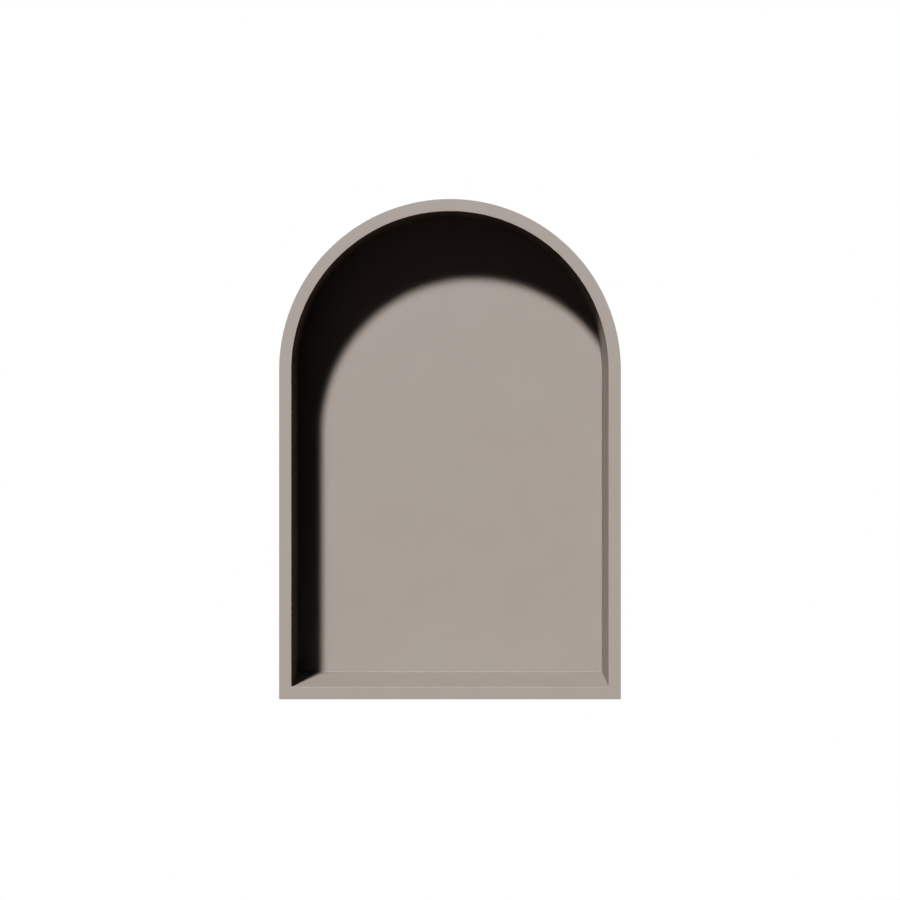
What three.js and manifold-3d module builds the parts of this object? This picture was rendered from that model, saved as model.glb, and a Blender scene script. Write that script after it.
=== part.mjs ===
// A recessed wall niche with a round head: an open box of coated sheet steel, let into a wall, with a flat
// flange around its mouth that covers the edge of the wall opening.
//
// Millimetres. +X is to the right as seen from the room, +Y goes into the wall and +Z is up. The origin is on
// the flange's rear face, at the middle of the bare strip below the box, where the niche bears on the wall.

import * as THREE from "three";
import { mergeVertices } from "three/addons/utils/BufferGeometryUtils.js";
import Module from "manifold-3d";

// Clear opening
const openingWidth = 304.8;
const sideHeight = 304.8; // from the front edge of the floor up to where the arch springs
const recessDepth = 88.9; // from the flange's front face to the back panel
const floorFall = 1; // degrees that the floor drops towards the mouth, so that water runs out

// Flange
const flangeWidth = 11.8; // how far it reaches beyond the opening, all round
const flangeThickness = 2;
const flangeEdgeRadius = 0.3;
const flangeCornerRadius = 0.5;

// Box
const wallThickness = 2;
const backThickness = 2;
const mouthRadius = 0.5; // convex, where the inner walls turn into the flange's face
const coveRadius = 0.6; // concave, where the inner walls meet the back panel
const floorCornerRadius = 1; // concave, where the floor meets the side walls
const rearEdgeRadius = 1; // convex, around the outside of the back

// Fineness of the curves
const archSegments = 72;
const cornerSegments = 3;
const roundSegments = 3;

// Finish
const coatColour = 0xa59b93;
const coatRoughness = 0.5;

// Heights and depths that follow from the sizes above
const bareStrip = flangeWidth - wallThickness;
const sillHeight = bareStrip / 2 + wallThickness;
const springHeight = sillHeight + sideHeight;
const faceDepth = -flangeThickness;
const panelDepth = faceDepth + recessDepth;
const rearDepth = panelDepth + backThickness;
const shellFront = (faceDepth + mouthRadius) / 2;

const wasm = await Module();
wasm.setup();

// Points of an arc in the X-Z plane, from one angle to another in degrees.
function arc(x, z, radius, from, to, segments) {
  const start = THREE.MathUtils.degToRad(from);
  const end = THREE.MathUtils.degToRad(to);
  return new THREE.EllipseCurve(x, z, radius, radius, start, end).getPoints(segments);
}

// The outline of the opening seen from the front, grown outwards by a margin: a flat base, two upright sides
// and a half-round head.
function archOutline(margin, cornerRadius) {
  const half = openingWidth / 2 + margin;
  const inset = half - cornerRadius;
  const turn = sillHeight - margin + cornerRadius;
  return [
    ...arc(inset, turn, cornerRadius, -90, 0, cornerSegments),
    ...arc(0, springHeight, half, 0, 180, archSegments),
    ...arc(-inset, turn, cornerRadius, 180, 270, cornerSegments),
  ];
}

// A shape given depth from front to back, with the rims of both ends rounded over.
function prism(shape, front, back, radius) {
  const geometry = new THREE.ExtrudeGeometry(shape, {
    depth: back - front - 2 * radius,
    bevelThickness: radius,
    bevelSize: radius,
    bevelOffset: -radius,
    bevelSegments: roundSegments,
  });
  geometry.translate(0, 0, radius - back);
  geometry.rotateX(Math.PI / 2);
  return geometry;
}

// A rim can be rounded by less than the radius of its outline's own corners, and no more.
function rimRadius(radius, cornerRadius) {
  return Math.min(radius, 0.9 * cornerRadius);
}

// Tilts the base of a prism to the fall of the floor: the lower end of its sides rises with depth.
function tiltBase(geometry) {
  const slope = Math.tan(THREE.MathUtils.degToRad(floorFall));
  const position = geometry.getAttribute("position");
  for (let i = 0; i < position.count; i += 1) {
    const height = position.getZ(i);
    if (height < (sillHeight + springHeight) / 2) {
      position.setZ(i, height + slope * (position.getY(i) - faceDepth));
    }
  }
  return geometry;
}

// A closed geometry as a solid that can be joined and cut.
function solidOf(geometry) {
  const bare = geometry.clone();
  bare.deleteAttribute("normal");
  bare.deleteAttribute("uv");
  const merged = mergeVertices(bare, 1e-4);
  const mesh = new wasm.Mesh({
    numProp: 3,
    vertProperties: merged.getAttribute("position").array,
    triVerts: new Uint32Array(merged.index.array),
  });
  return new wasm.Manifold(mesh);
}

// A solid as a geometry that can be drawn.
function geometryOf(solid) {
  const { vertProperties, triVerts, numProp } = solid.getMesh();
  const geometry = new THREE.BufferGeometry();
  const position = new THREE.InterleavedBufferAttribute(
    new THREE.InterleavedBuffer(vertProperties, numProp), 3, 0);
  geometry.setAttribute("position", position);
  geometry.setIndex(new THREE.BufferAttribute(triVerts, 1));
  const flat = geometry.toNonIndexed();
  flat.computeVertexNormals();
  return flat;
}

// The flat plate around the mouth, with a slightly eased outer edge and a rounded inner one.
function flange() {
  const plate = new THREE.Shape(archOutline(flangeWidth, flangeCornerRadius));
  const eased = rimRadius(flangeEdgeRadius, flangeCornerRadius);
  const mouth = new THREE.Shape(archOutline(2 * flangeWidth, flangeWidth));
  mouth.holes.push(new THREE.Path(archOutline(0, floorCornerRadius)));
  const plateSolid = solidOf(prism(plate, faceDepth, 0, eased));
  const mouthSolid = solidOf(tiltBase(prism(mouth, faceDepth, 2 * flangeThickness, mouthRadius)));
  return plateSolid.intersect(mouthSolid);
}

// The outside of the box, from within the flange to the rear.
function shell() {
  const cornerRadius = floorCornerRadius + wallThickness;
  const outline = new THREE.Shape(archOutline(wallThickness, cornerRadius));
  const block = prism(outline, 2 * faceDepth, rearDepth, rimRadius(rearEdgeRadius, cornerRadius));
  const reach = 2 * (springHeight + openingWidth);
  const behindFace = new THREE.BoxGeometry(reach, reach, reach);
  behindFace.translate(0, shellFront + reach / 2, 0);
  return solidOf(tiltBase(block)).intersect(solidOf(behindFace));
}

// The space inside the box, from in front of the flange to the back panel.
function recess() {
  const outline = new THREE.Shape(archOutline(0, floorCornerRadius));
  const cove = rimRadius(coveRadius, floorCornerRadius);
  return solidOf(tiltBase(prism(outline, 2 * faceDepth - cove, panelDepth, cove)));
}

function nicheBody() {
  const solid = flange().add(shell()).subtract(recess());
  const coat = new THREE.MeshStandardMaterial({
    color: coatColour,
    roughness: coatRoughness,
    metalness: 0,
  });
  const mesh = new THREE.Mesh(geometryOf(solid), coat);
  mesh.name = "niche_body";
  return mesh;
}

const niche = new THREE.Group();
niche.add(nicheBody());

export default niche;
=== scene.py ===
"""A recessed wall niche with a round head, in coated sheet steel: its fine surface, finish, light and view.

Metres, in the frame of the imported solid: +X is to the right as seen from the room, +Y goes into the wall
and +Z is up. The open front faces -Y.
"""

import math

import bpy
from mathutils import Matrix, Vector


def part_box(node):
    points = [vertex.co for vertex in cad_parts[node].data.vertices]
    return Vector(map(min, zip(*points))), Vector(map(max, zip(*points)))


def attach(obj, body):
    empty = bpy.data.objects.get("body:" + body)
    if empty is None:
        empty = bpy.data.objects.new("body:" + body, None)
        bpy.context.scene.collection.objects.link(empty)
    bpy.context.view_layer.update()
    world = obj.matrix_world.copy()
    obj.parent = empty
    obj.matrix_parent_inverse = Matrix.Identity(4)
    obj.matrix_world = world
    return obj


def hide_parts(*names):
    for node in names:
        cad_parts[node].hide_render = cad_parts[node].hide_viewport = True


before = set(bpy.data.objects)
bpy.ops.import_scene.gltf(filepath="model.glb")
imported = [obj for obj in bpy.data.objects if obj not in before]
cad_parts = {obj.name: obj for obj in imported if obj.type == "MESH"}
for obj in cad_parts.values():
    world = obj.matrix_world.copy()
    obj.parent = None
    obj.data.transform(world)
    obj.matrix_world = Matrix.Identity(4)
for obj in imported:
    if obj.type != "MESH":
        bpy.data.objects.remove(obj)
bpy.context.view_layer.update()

MM = 0.001

# Sizes of the niche
FLANGE_WIDTH = 11.8 * MM
SHEET = 2 * MM
FLOOR_FALL = math.radians(1)

# Radii of its rounded edges and corners
MOUTH_RADIUS = 0.5 * MM
COVE_RADIUS = 0.6 * MM
FLANGE_EDGE_RADIUS = 0.3 * MM
REAR_EDGE_RADIUS = 1 * MM
FLOOR_CORNER_RADIUS = 1 * MM
FLANGE_CORNER_RADIUS = 0.5 * MM

# Fineness of the mesh
ARCH_STEPS = 256
CORNER_STEPS = 8
ROUND_STEPS = 8
LONGEST_STEP = 15 * MM
SHARP_ANGLE = math.radians(40)

# Places that follow from the solid's own box
LOW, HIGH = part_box("niche_body")
FACE = LOW.y
REAR = HIGH.y
PANEL = REAR - SHEET
HALF_OPENING = HIGH.x - FLANGE_WIDTH
SILL = LOW.z + FLANGE_WIDTH
SPRING = HIGH.z - HIGH.x

# Finish: a linear colour with a faint mottle, and a sheen that varies with the grain
COAT_COLOUR = (0.376, 0.326, 0.291)
COAT_ROUGHNESS = 0.5
COAT_SPECULAR = 0.6
COAT_DIFFUSE_ROUGHNESS = 0.3
MOTTLE_SHARE = 0.015
SHEEN_CHANGE = 0.03

# Unevenness of the coat: the length of its waves, how much finer ones they carry and how high they stand
MOTTLE_LENGTH = 45 * MM
MOTTLE_DETAIL = 3
GRAIN_LENGTH = 1.2 * MM
GRAIN_HEIGHT = 0.02 * MM
PORE_LENGTH = 0.35 * MM
PORE_HEIGHT = 0.01 * MM
FINE_DETAIL = 2
NOISE_LOW = 0.3
NOISE_HIGH = 0.7

# A pale floor, well below the niche, and how far out its fade to white starts, as a share of its radius
FLOOR_COLOUR = (0.78, 0.77, 0.75)
FLOOR_AT = (0, 0, -1)
FLOOR_RADIUS = 2.5
FLOOR_SIDES = 128
FLOOR_ROUGHNESS = 0.9
FLOOR_FADE = 0.3

# View: the principal point is above the middle of the frame
FRAME_PIXELS = 900
SENSOR = 36 * MM
LENS = 82.96 * MM
CAMERA_AT = (0, -1.995, 0.3096)
VIEW_LIFT_PIXELS = 78

# Suns: a name, where the light travels, its strength, the angle it fills and whether surfaces pass it on
SUN_TRAVEL = (0.278, 1, -0.70)
STEEP_TRAVEL = (0.278, 1, -4.7)
SUNS = (
    ("sun", SUN_TRAVEL, 3.26, math.radians(4.7), False),
    ("sun_halo", SUN_TRAVEL, 0.63, math.radians(9.3), True),
    ("steep", STEEP_TRAVEL, 0.44, math.radians(3), False),
)

# Panels of light, all aimed at the niche: a name, place, width and height, power and colour. The front ones
# fill the shadows. The ones beside and below graze the mouth and fade out along the inner walls. The two at
# the back show the rear.
WHITE = (1, 1, 1)
PANELS = (
    ("front", (-0.35, -1.95, 0.3), (2, 2), 0.68, (1, 1, 0.95)),
    ("front_low", (-0.8, -1.95, -0.4), (1.2, 1.2), 0.53, (1, 0.6, 0.45)),
    ("beside", (1.5, -0.19, 0.25), (0.38, 1), 1.22, (1, 0.54, 0.32)),
    ("below", (0, -0.05, -0.9), (1, 0.1), 0.38, (1, 0.5, 0.25)),
    ("back_left", (-1.4, 1.6, 1.3), (1.7, 1.7), 30, WHITE),
    ("back_right", (1.5, 1.3, 0.7), (1.7, 1.7), 26, WHITE),
)

# Tone curve: linear light in the scene and in the picture. It is the curve for all colours together, which
# comes after those of red, green and blue, and it has its two ends from the start.
COMBINED_CURVE = 3
TONES = ((0, 0), (0.012, 0.0095), (0.05, 0.043), (0.1, 0.091), (0.15, 0.146), (0.2, 0.204), (0.3, 0.315),
         (0.38, 0.394), (0.45, 0.45), (1, 1))


def quarter(margin, depth, radius, start, end):
    """Section points of a quarter round about a centre, from one angle in degrees to another."""
    points = []
    for step in range(ROUND_STEPS + 1):
        angle = math.radians(start + (end - start) * step / ROUND_STEPS)
        points.append((margin + radius * math.cos(angle), depth + radius * math.sin(angle)))
    return points


def between(start, end):
    """Points from a start up to, but without, an end, no further apart than the longest step."""
    start, end = Vector(start), Vector(end)
    steps = max(1, math.ceil((end - start).length / LONGEST_STEP))
    return [start.lerp(end, step / steps) for step in range(steps)]


def section():
    """The wall's outline as cut across: (margin outside the opening, depth), from the panel to the rear."""
    edge = FLANGE_WIDTH - FLANGE_EDGE_RADIUS
    corners = [
        *quarter(-COVE_RADIUS, PANEL - COVE_RADIUS, COVE_RADIUS, 90, 0),
        *quarter(MOUTH_RADIUS, FACE + MOUTH_RADIUS, MOUTH_RADIUS, 180, 270),
        *quarter(edge, FACE + FLANGE_EDGE_RADIUS, FLANGE_EDGE_RADIUS, 270, 360),
        *quarter(edge, -FLANGE_EDGE_RADIUS, FLANGE_EDGE_RADIUS, 0, 90),
        (SHEET, 0),
        *quarter(SHEET - REAR_EDGE_RADIUS, REAR - REAR_EDGE_RADIUS, REAR_EDGE_RADIUS, 0, 90),
    ]
    points = []
    for start, end in zip(corners, corners[1:]):
        points += between(start, end)
    return [*points, Vector(corners[-1])]


def arc(x, z, radius, start, end, steps):
    """Points of an arc seen from the front, from one angle in degrees up to, but without, another."""
    points = []
    for step in range(steps):
        angle = math.radians(start + (end - start) * step / steps)
        points.append((x + radius * math.cos(angle), z + radius * math.sin(angle)))
    return points


def side(start, end, nominal):
    """Points along a straight side without its last one, as many in every ring."""
    start, end = Vector(start), Vector(end)
    steps = math.ceil(nominal / LONGEST_STEP)
    return [start.lerp(end, step / steps) for step in range(steps)]


def ring(margin, depth):
    """One ring of points around the niche: base, right side, arch and left side.

    The flange's outer edge has corners of its own and a level base. All the rest has the box's corners and
    follows the fall of the floor.
    """
    if margin > FLANGE_WIDTH / 2:
        corner = FLANGE_CORNER_RADIUS + margin - FLANGE_WIDTH
        rise = 0
    else:
        corner = FLOOR_CORNER_RADIUS + margin
        rise = math.tan(FLOOR_FALL) * (depth - FACE)
    half = HALF_OPENING + margin
    inset = half - corner
    base = SILL - margin + rise
    outline = [
        *side((-inset, base), (inset, base), 2 * HALF_OPENING),
        *arc(inset, base + corner, corner, -90, 0, CORNER_STEPS),
        *side((half, base + corner), (half, SPRING), SPRING - SILL),
        *arc(0, SPRING, half, 0, 180, ARCH_STEPS),
        *side((-half, SPRING), (-half, base + corner), SPRING - SILL),
        *arc(-inset, base + corner, corner, 180, 270, CORNER_STEPS),
    ]
    return [(x, depth, z) for x, z in outline]


def niche_mesh():
    """The niche as one closed skin, from the panel around the flange to the rear."""
    rings = [ring(margin, depth) for margin, depth in section()]
    around = len(rings[0])
    vertices = [point for points in rings for point in points]
    faces = [tuple(range(around))]
    for row in range(len(rings) - 1):
        for i in range(around):
            here = row * around + i
            beside = row * around + (i + 1) % around
            faces.append((here, here + around, beside + around, beside))
    last = (len(rings) - 1) * around
    faces.append(tuple(range(last + around - 1, last - 1, -1)))
    mesh = bpy.data.meshes.new("coated_niche")
    mesh.from_pydata(vertices, [], faces)
    mesh.validate()
    mesh.polygons.foreach_set("use_smooth", [True] * len(mesh.polygons))
    mesh.set_sharp_from_angle(angle=SHARP_ANGLE)
    return mesh


def noise(nodes, links, coordinates, wavelength, detail):
    """A noise whose waves have a real length."""
    node = nodes.new("ShaderNodeTexNoise")
    node.inputs["Scale"].default_value = 1 / wavelength
    node.inputs["Detail"].default_value = detail
    links.new(coordinates, node.inputs["Vector"])
    return node.outputs["Fac"]


def spread(nodes, links, value, low, high):
    """A noise's middle range turned into a range of values."""
    node = nodes.new("ShaderNodeMapRange")
    node.inputs["From Min"].default_value = NOISE_LOW
    node.inputs["From Max"].default_value = NOISE_HIGH
    node.inputs["To Min"].default_value = low
    node.inputs["To Max"].default_value = high
    links.new(value, node.inputs["Value"])
    return node.outputs["Result"]


def bumps(nodes, links, relief, height, under=None):
    """Bumps of a real height, on top of others where there are any."""
    node = nodes.new("ShaderNodeBump")
    node.inputs["Strength"].default_value = 1
    node.inputs["Distance"].default_value = height
    links.new(relief, node.inputs["Height"])
    if under is not None:
        links.new(under, node.inputs["Normal"])
    return node.outputs["Normal"]


def coat_material():
    """A matte coat with a very fine grain, a faint mottle and a slightly uneven sheen."""
    material = bpy.data.materials.new("coat")
    material.use_nodes = True
    nodes = material.node_tree.nodes
    links = material.node_tree.links
    shader = nodes["Principled BSDF"]
    shader.inputs["Diffuse Roughness"].default_value = COAT_DIFFUSE_ROUGHNESS
    shader.inputs["Specular IOR Level"].default_value = COAT_SPECULAR
    place = nodes.new("ShaderNodeTexCoord").outputs["Object"]

    mottle = noise(nodes, links, place, MOTTLE_LENGTH, MOTTLE_DETAIL)
    grain = noise(nodes, links, place, GRAIN_LENGTH, FINE_DETAIL)
    pores = noise(nodes, links, place, PORE_LENGTH, FINE_DETAIL)

    tones = nodes.new("ShaderNodeMix")
    tones.data_type = "RGBA"
    tones.inputs["A"].default_value = (*[(1 - MOTTLE_SHARE) * c for c in COAT_COLOUR], 1)
    tones.inputs["B"].default_value = (*[(1 + MOTTLE_SHARE) * c for c in COAT_COLOUR], 1)
    links.new(spread(nodes, links, mottle, 0, 1), tones.inputs["Factor"])
    links.new(tones.outputs["Result"], shader.inputs["Base Color"])

    sheen = spread(nodes, links, grain, COAT_ROUGHNESS - SHEEN_CHANGE, COAT_ROUGHNESS + SHEEN_CHANGE)
    links.new(sheen, shader.inputs["Roughness"])

    coarse = bumps(nodes, links, grain, GRAIN_HEIGHT)
    fine = bumps(nodes, links, pores, PORE_HEIGHT, coarse)
    links.new(fine, shader.inputs["Normal"])
    return material


def make_niche():
    niche = bpy.data.objects.new("coated_niche", niche_mesh())
    bpy.context.scene.collection.objects.link(niche)
    niche.data.materials.append(coat_material())
    weighted = niche.modifiers.new("even_normals", "WEIGHTED_NORMAL")
    weighted.keep_sharp = True
    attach(niche, "root")
    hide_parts("niche_body")


def make_floor():
    """A plain pale floor below the niche, which throws no light on it.

    To the camera its rim fades to white.
    """
    bpy.ops.mesh.primitive_circle_add(
        vertices=FLOOR_SIDES, radius=FLOOR_RADIUS, fill_type="NGON", location=FLOOR_AT)
    floor = bpy.context.object
    floor.name = "studio_floor"
    material = bpy.data.materials.new("floor")
    material.use_nodes = True
    nodes = material.node_tree.nodes
    links = material.node_tree.links
    pale = nodes["Principled BSDF"]
    pale.inputs["Base Color"].default_value = (*FLOOR_COLOUR, 1)
    pale.inputs["Roughness"].default_value = FLOOR_ROUGHNESS
    white = nodes.new("ShaderNodeEmission")
    distance = nodes.new("ShaderNodeVectorMath")
    distance.operation = "LENGTH"
    links.new(nodes.new("ShaderNodeTexCoord").outputs["Object"], distance.inputs[0])
    fade = nodes.new("ShaderNodeMapRange")
    fade.interpolation_type = "SMOOTHSTEP"
    fade.inputs["From Min"].default_value = FLOOR_FADE * FLOOR_RADIUS
    fade.inputs["From Max"].default_value = FLOOR_RADIUS
    links.new(distance.outputs["Value"], fade.inputs["Value"])
    seen = nodes.new("ShaderNodeMath")
    seen.operation = "MULTIPLY"
    links.new(fade.outputs["Result"], seen.inputs[0])
    links.new(nodes.new("ShaderNodeLightPath").outputs["Is Camera Ray"], seen.inputs[1])
    mix = nodes.new("ShaderNodeMixShader")
    links.new(seen.outputs["Value"], mix.inputs["Fac"])
    links.new(pale.outputs["BSDF"], mix.inputs[1])
    links.new(white.outputs["Emission"], mix.inputs[2])
    links.new(mix.outputs["Shader"], nodes["Material Output"].inputs["Surface"])
    floor.data.materials.append(material)
    floor.visible_diffuse = False
    floor.visible_glossy = False


def aim(thing, direction):
    thing.rotation_euler = Vector(direction).to_track_quat("-Z", "Y").to_euler()


def make_camera():
    camera = bpy.data.objects.new("camera", bpy.data.cameras.new("camera"))
    bpy.context.scene.collection.objects.link(camera)
    camera.location = CAMERA_AT
    aim(camera, (0, 1, 0))
    camera.data.sensor_width = SENSOR / MM
    camera.data.lens = LENS / MM
    camera.data.shift_y = -VIEW_LIFT_PIXELS / FRAME_PIXELS
    bpy.context.scene.camera = camera


def make_light():
    for name, travel, strength, angle, passed_on in SUNS:
        sun = bpy.data.objects.new(name, bpy.data.lights.new(name, "SUN"))
        bpy.context.scene.collection.objects.link(sun)
        sun.data.energy = strength
        sun.data.angle = angle
        aim(sun, travel)
        if not passed_on:
            sun.data.cycles.max_bounces = 0
    for name, place, (width, height), power, colour in PANELS:
        panel = bpy.data.objects.new(name, bpy.data.lights.new(name, "AREA"))
        bpy.context.scene.collection.objects.link(panel)
        panel.data.shape = "RECTANGLE"
        panel.data.size = width
        panel.data.size_y = height
        panel.data.energy = power
        panel.data.color = colour
        panel.location = place
        aim(panel, (LOW + HIGH) / 2 - Vector(place))
        panel.data.cycles.max_bounces = 0


def make_world():
    """White to the camera, and dark to everything else, so that it gives no light of its own."""
    world = bpy.data.worlds.new("studio")
    bpy.context.scene.world = world
    world.use_nodes = True
    nodes = world.node_tree.nodes
    links = world.node_tree.links
    seen = nodes["Background"]
    seen.inputs["Color"].default_value = (*WHITE, 1)
    seen.inputs["Strength"].default_value = 1
    dark = nodes.new("ShaderNodeBackground")
    dark.inputs["Strength"].default_value = 0
    mix = nodes.new("ShaderNodeMixShader")
    links.new(nodes.new("ShaderNodeLightPath").outputs["Is Camera Ray"], mix.inputs["Fac"])
    links.new(dark.outputs["Background"], mix.inputs[1])
    links.new(seen.outputs["Background"], mix.inputs[2])
    links.new(mix.outputs["Shader"], nodes["World Output"].inputs["Surface"])


def set_tones():
    settings = bpy.context.scene.view_settings
    settings.view_transform = "Standard"
    settings.use_curve_mapping = True
    curve = settings.curve_mapping.curves[COMBINED_CURVE]
    for light, tone in TONES[1:-1]:
        curve.points.new(light, tone)
    settings.curve_mapping.update()


make_camera()
make_niche()
make_floor()
make_light()
make_world()
set_tones()
